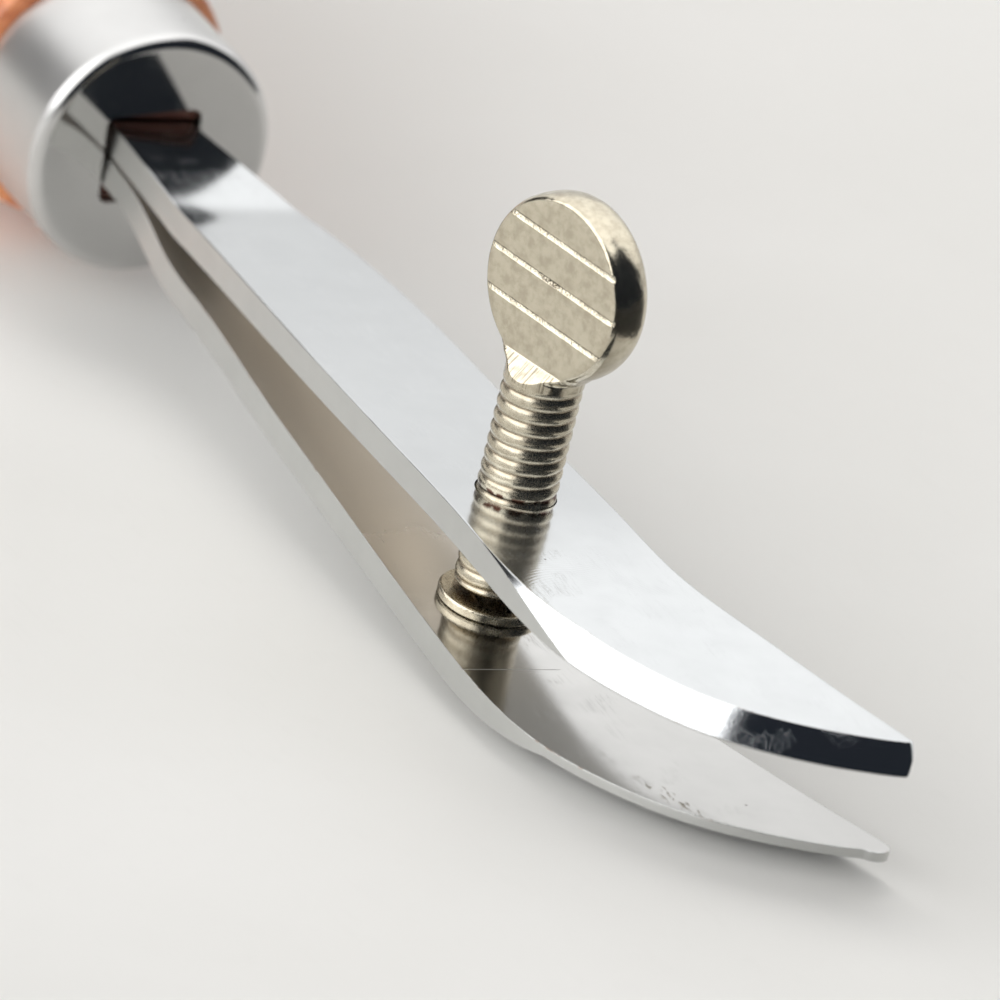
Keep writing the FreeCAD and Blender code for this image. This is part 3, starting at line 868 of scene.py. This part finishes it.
def neck_radius(z, angle):
    """Radius of the neck, which flares into the head's rim and is cut by two sloping facets."""
    flare = max(0.0, z - FLARE_START)
    wide = THREAD_RADIUS + FLARE_RATE * flare * smoothstep(flare, 0.0, 0.5)
    c, s = math.cos(angle), math.sin(angle)
    radius = 1.0 / math.hypot(c / wide, s / THREAD_RADIUS)
    limit = HEAD_HALF_THICKNESS - 0.012 + max(0.0, FACET_TOP - z)
    if abs(s) > 1e-6:
        flat = limit / abs(s)
        soft = 0.03
        gap = (radius - flat) / soft
        if gap > 8:
            radius = flat
        elif gap > -8:
            radius = radius - soft * math.log1p(math.exp(gap))
    return radius


def lathe_rows(profile, columns):
    """Rows of a body turned about Z, from (radius, height) pairs."""
    turn = [2 * math.pi * j / columns for j in range(columns)]
    return [[(r * math.cos(a), r * math.sin(a), z) for a in turn] for r, z in profile]


def shank_rows(rivet_bottom):
    """Rivet, swivel pin, thread and neck as rings of points, from the bottom up."""
    rivet_top = rivet_bottom + RIVET_HEIGHT
    rivet = []
    for k in range(9):
        a = math.pi / 2 * k / 8
        rivet.append((0.25 + (RIVET_RADIUS - 0.25) * math.sin(a), rivet_top - 0.18 - 0.42 * math.cos(a)))
    rivet += [(RIVET_RADIUS, rivet_top - 0.05), (RIVET_RADIUS - 0.05, rivet_top), (PIN_RADIUS, rivet_top)]
    rivet += [(PIN_RADIUS, THREAD_END - 0.02)]
    rows = lathe_rows(rivet, SHANK_COLUMNS)
    for i in range(SHANK_ROWS):
        z = THREAD_END + (NECK_TOP - THREAD_END) * i / (SHANK_ROWS - 1)
        row = []
        for j in range(SHANK_COLUMNS):
            a = 2 * math.pi * j / SHANK_COLUMNS
            radius = thread_radius(z, a) if z < THREAD_TOP + 0.1 else neck_radius(z, a)
            row.append((radius * math.cos(a), radius * math.sin(a), z))
        rows.append(row)
    return rows


def scored(x, z):
    """Depth of the scored lines on the head, each with a long lower flank, a steep upper one and a burr."""
    tilt = math.radians(SCORED_TILT)
    level = z * math.cos(tilt) - x * math.sin(tilt)
    depth = 0.0
    for i, line in enumerate(SCORED_LINES):
        away = level - line
        if abs(away) > 2 * SCORED_WIDTH:
            continue
        rough = field.noise(Vector((x * 6.0, level * 7.0, 3.0 * i)))
        chatter = 0.15 + (2.4 if i == 1 and abs(x + 0.1) < 0.9 else 0.0)
        flank = 1.0 + away / SCORED_WIDTH if away < 0 else 1.0 - away / SCORED_STEEP
        burr = math.exp(-((away - 1.6 * SCORED_STEEP) / SCORED_STEEP) ** 2)
        depth += SCORED_DEPTH * max(0.0, flank) * (1.0 + chatter * rough)
        depth -= BURR_HEIGHT * burr * (1.0 + rough)
    return depth


def head_rows():
    """The upright disc as rings from the middle of one face, over the rim, to the middle of the other."""
    half = HEAD_HALF_THICKNESS
    reach = HEAD_RADIUS - HEAD_FACE_RADIUS
    rings = []
    for k in range(1, FACE_RINGS + 1):
        rings.append((HEAD_FACE_RADIUS * k / FACE_RINGS, half, 0.0))
    for k in range(1, RIM_RINGS):
        a = math.pi * k / RIM_RINGS
        rings.append((HEAD_FACE_RADIUS + reach * math.sin(a) ** RIM_POWER, half * math.cos(a), 1.0))
    rings += [(r, -half, 0.0) for r, _, _ in rings[FACE_RINGS - 1::-1]]
    rows = []
    for radius, y, rim in rings:
        row = []
        for j in range(HEAD_COLUMNS):
            a = 2 * math.pi * j / HEAD_COLUMNS
            x, z = radius * math.cos(a), radius * math.sin(a)
            side = 1.0 if y > 0 else -1.0
            if rim:
                lump = field.noise(Vector((x, y, z)) * 0.9) + 0.3 * field.noise(Vector((x, y, z)) * 2.7)
                swell = RIM_WAVE * lump * math.sin(math.pi * (y / half + 1) / 2)
                row.append((x * (1 + swell / radius), y, z * (1 + swell / radius)))
            else:
                wave = FACE_WAVE * field.noise(Vector((x * 0.8, 5.0 * side, z * 0.8)))
                edge = smoothstep(radius, HEAD_FACE_RADIUS - 0.06, HEAD_FACE_RADIUS) * 0.015
                row.append((x, side * (half - max(-0.03, scored(x, z)) + wave - edge), z))
        rows.append(row)
    return [[(x, y, z + HEAD_CENTRE_Z) for x, y, z in row] for row in rows]


def shell(rows, first=0):
    """Points and faces of a closed body made of rings of points."""
    columns = len(rows[0])
    points = [p for row in rows for p in row]
    faces = grid_faces(len(rows), columns, True, first)
    last = first + len(points) - columns
    points.append(tuple(sum(c) / columns for c in zip(*rows[0])))
    points.append(tuple(sum(c) / columns for c in zip(*rows[-1])))
    low, high = first + len(points) - 2, first + len(points) - 1
    faces += [(low, first + (j + 1) % columns, first + j) for j in range(columns)]
    faces += [(high, last + j, last + (j + 1) % columns) for j in range(columns)]
    return points, faces


def build_thumb_screw(material):
    """The screw in its rest position, turned to the head's angle and moved onto its axis."""
    rivet_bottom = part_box("thumb_screw")[0].z / MM
    points, faces = shell(shank_rows(rivet_bottom))
    head_points, head_faces = shell(head_rows(), len(points))
    points += head_points
    faces += head_faces
    turn = math.radians(HEAD_TURN)
    c, s = math.cos(turn), math.sin(turn)
    axis = SCREW_X / MM
    placed = [(axis + x * c - y * s, x * s + y * c, z) for x, y, z in points]
    body = "thumb_screw"
    make_piece("thumb_screw_plated", placed, faces, [material], body, [body])


# ---------------------------------------------------------------- stage

def build_floor(material):
    """A floor whose slope fades out at both ends; it leans so that the lower tip stays on it."""
    steps = 240
    start, end = FLOOR_LEVEL_BEFORE - 2 * FLOOR_BLEND, FLOOR_LEVEL_AFTER + 2 * FLOOR_BLEND
    stations = [start + (end - start) * i / steps for i in range(steps + 1)]
    heights = [0.0]
    for a, b in zip(stations, stations[1:]):
        middle = (a + b) / 2
        slope = FLOOR_SLOPE * smoothstep(middle, FLOOR_LEVEL_BEFORE - FLOOR_BLEND, FLOOR_LEVEL_BEFORE)
        slope *= 1 - smoothstep(middle, FLOOR_LEVEL_AFTER, FLOOR_LEVEL_AFTER + FLOOR_BLEND)
        heights.append(heights[-1] + slope * (b - a))
    belly = min(range(len(stations)), key=lambda i: abs(stations[i] - BELLY_X))
    lift = HANDLE_LOW - 0.05 * MM - heights[belly]
    stations = [-FLOOR_HALF] + stations + [FLOOR_HALF]
    heights = [heights[0]] + heights + [heights[-1]]
    pivot = Vector((BELLY_X, 0.0, HANDLE_LOW))
    tip = Vector((TIP_X, 0.0, TIP_LOW_Z))
    level = Vector((1.0, 0.0, 0.0)).rotation_difference(tip - pivot).to_matrix().inverted()
    mesh = bpy.data.meshes.new("floor")
    points = []
    for x, z in zip(stations, heights):
        points += [level @ (Vector((x, y, z + lift)) - pivot) for y in (-FLOOR_HALF, FLOOR_HALF)]
    faces = [(2 * i, 2 * i + 2, 2 * i + 3, 2 * i + 1) for i in range(len(stations) - 1)]
    mesh.from_pydata(points, [], faces)
    mesh.shade_smooth()
    mesh.materials.append(material)
    floor = bpy.data.objects.new("floor", mesh)
    bpy.context.scene.collection.objects.link(floor)
    floor.location = pivot
    support = bpy.data.objects.new("support", None)
    bpy.context.scene.collection.objects.link(support)
    support.location = tip
    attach(support, "lower_blade")
    lean = floor.constraints.new("DAMPED_TRACK")
    lean.track_axis = "TRACK_X"
    lean.target = support


def box_mask(tree, azimuth, elevation, az_range, el_range, edge):
    """1 inside a window of azimuth and elevation in degrees, with soft edges."""
    mask = smooth(tree, azimuth, az_range[0] - edge, az_range[0] + edge)
    for value, at, low, high in (
        (azimuth, az_range[1], 1.0, 0.0),
        (elevation, el_range[0], 0.0, 1.0),
        (elevation, el_range[1], 1.0, 0.0),
    ):
        mask = maths(tree, "MULTIPLY", mask, smooth(tree, value, at - edge, at + edge, low, high))
    return mask


def build_studio():
    """What polished metal sees is a bright tent with darker windows; other surfaces get a plainer light."""
    world = bpy.data.worlds.new("studio")
    bpy.context.scene.world = world
    world.use_nodes = True
    tree = world.node_tree
    tree.nodes.clear()
    direction = node(tree, "TexCoord").outputs["Generated"]
    parts = node(tree, "SeparateXYZ", {0: direction}).outputs
    azimuth = maths(tree, "DEGREES", maths(tree, "ARCTAN2", parts[1], parts[0]))
    elevation = maths(tree, "DEGREES", maths(tree, "ARCSINE", parts[2]))
    tent = node(tree, "FloatCurve", {"Value": maths(tree, "DIVIDE", elevation, 90.0)})
    set_curve(tent, [(degrees / 90.0, level / TENT_PEAK) for degrees, level in TENT_LEVELS])
    tent = maths(tree, "MULTIPLY", tent.outputs[0], TENT_PEAK)
    soft_box = box_mask(tree, azimuth, elevation, *SOFT_BOX)
    behind_camera = box_mask(tree, azimuth, elevation, *BEHIND_CAMERA)
    far_corner = box_mask(tree, azimuth, elevation, *FAR_CORNER)
    seen = mix(tree, far_corner, tent, grey(0.06))
    seen = mix(tree, soft_box, seen, grey(2.8))
    seen = mix(tree, behind_camera, seen, CAMERA_SIDE_DARK)
    rays = node(tree, "LightPath").outputs
    low_light = box_mask(tree, azimuth, elevation, *LOW_LIGHT)
    lit = mix(tree, low_light, grey(0.37), grey(3.4))
    colour = mix(tree, rays["Is Glossy Ray"], lit, seen)
    colour = mix(tree, rays["Is Camera Ray"], colour, grey(0.80))
    background = node(tree, "Background", {"Color": colour, "Strength": 1.0})
    output = node(tree, "OutputWorld")
    tree.links.new(background.outputs[0], output.inputs["Surface"])
    world.cycles.sampling_method = "NONE"


def set_curve(curve_node, points):
    """Gives a float curve node straight pieces through points, both coordinates from 0 to 1."""
    curve = curve_node.mapping.curves[0]
    while len(curve.points) < len(points):
        curve.points.new(0.5, 0.5)
    for point, place in zip(curve.points, points):
        point.location = place
        point.handle_type = "VECTOR"
    curve_node.mapping.update()


def direction_from(azimuth, elevation):
    """Unit vector from the tool towards a lamp; azimuth is counted from +X towards +Y."""
    a, e = math.radians(azimuth), math.radians(elevation)
    return Vector((math.cos(a) * math.cos(e), math.sin(a) * math.cos(e), math.sin(e)))


def build_key():
    """The large soft lamp beyond the tool, which throws its shadow towards the camera's side."""
    lamp = bpy.data.lights.new("key", "AREA")
    lamp.shape = "DISK"
    lamp.size = KEY_SIZE
    lamp.energy = KEY_ENERGY
    lamp.color = (1.0, 0.99, 0.97)
    key = bpy.data.objects.new("key", lamp)
    bpy.context.scene.collection.objects.link(key)
    centre = Vector((SCREW_X, 0.0, 0.0))
    toward = direction_from(KEY_AZIMUTH, KEY_ELEVATION)
    key.location = centre + toward * KEY_DISTANCE
    key.rotation_euler = toward.to_track_quat("Z", "Y").to_euler()
    key.visible_glossy = False


def build_camera():
    azimuth, elevation = math.radians(CAMERA_AZIMUTH), math.radians(CAMERA_ELEVATION)
    back = Vector((
        math.sin(azimuth) * math.cos(elevation),
        -math.cos(azimuth) * math.cos(elevation),
        math.sin(elevation),
    ))
    data = bpy.data.cameras.new("camera")
    data.lens = CAMERA_LENS
    data.sensor_width = 36.0
    data.clip_start = 0.1
    data.clip_end = 20.0
    camera = bpy.data.objects.new("camera", data)
    bpy.context.scene.collection.objects.link(camera)
    camera.location = CAMERA_AIM + back * CAMERA_DISTANCE
    turn = (-back).to_track_quat("-Z", "Y")
    roll = Matrix.Rotation(math.radians(CAMERA_ROLL), 4, "Z")
    camera.rotation_euler = (turn.to_matrix().to_4x4() @ roll).to_euler()
    focus = bpy.data.objects.new("focus", None)
    focus.location = (SCREW_X, 0.0, 5.0 * MM)
    bpy.context.scene.collection.objects.link(focus)
    data.dof.use_dof = True
    data.dof.focus_object = focus
    data.dof.aperture_fstop = CAMERA_FSTOP
    bpy.context.scene.camera = camera


def set_material(obj, material):
    for slot in obj.material_slots:
        slot.material = material


def main():
    blade_steel = steel_finish("satin_steel", BLADE_STEEL, 0.13, 0.0006)
    edge_steel = steel_finish("sheared_edge", SHEARED_STEEL, 0.34, 0.004)
    bevel_steel = steel_finish("ground_bevel", GROUND_STEEL, 0.06, 0.004, 0.10)
    drawn_steel = ferrule_finish()
    add_swirls(blade_steel)
    nickel = nickel_finish()
    wood = wood_finish()
    set_material(NODES["handle"], wood)
    build_ferrule(drawn_steel)
    build_blades([blade_steel, edge_steel, bevel_steel, worn_edge_finish(), inner_finish()])
    build_thumb_screw(nickel)
    for name in ("pivot_washer", "retaining_washer"):
        set_material(NODES[name], nickel)
    build_floor(floor_finish())
    build_studio()
    build_key()
    build_camera()
    bpy.context.scene.view_settings.view_transform = "Standard"


main()
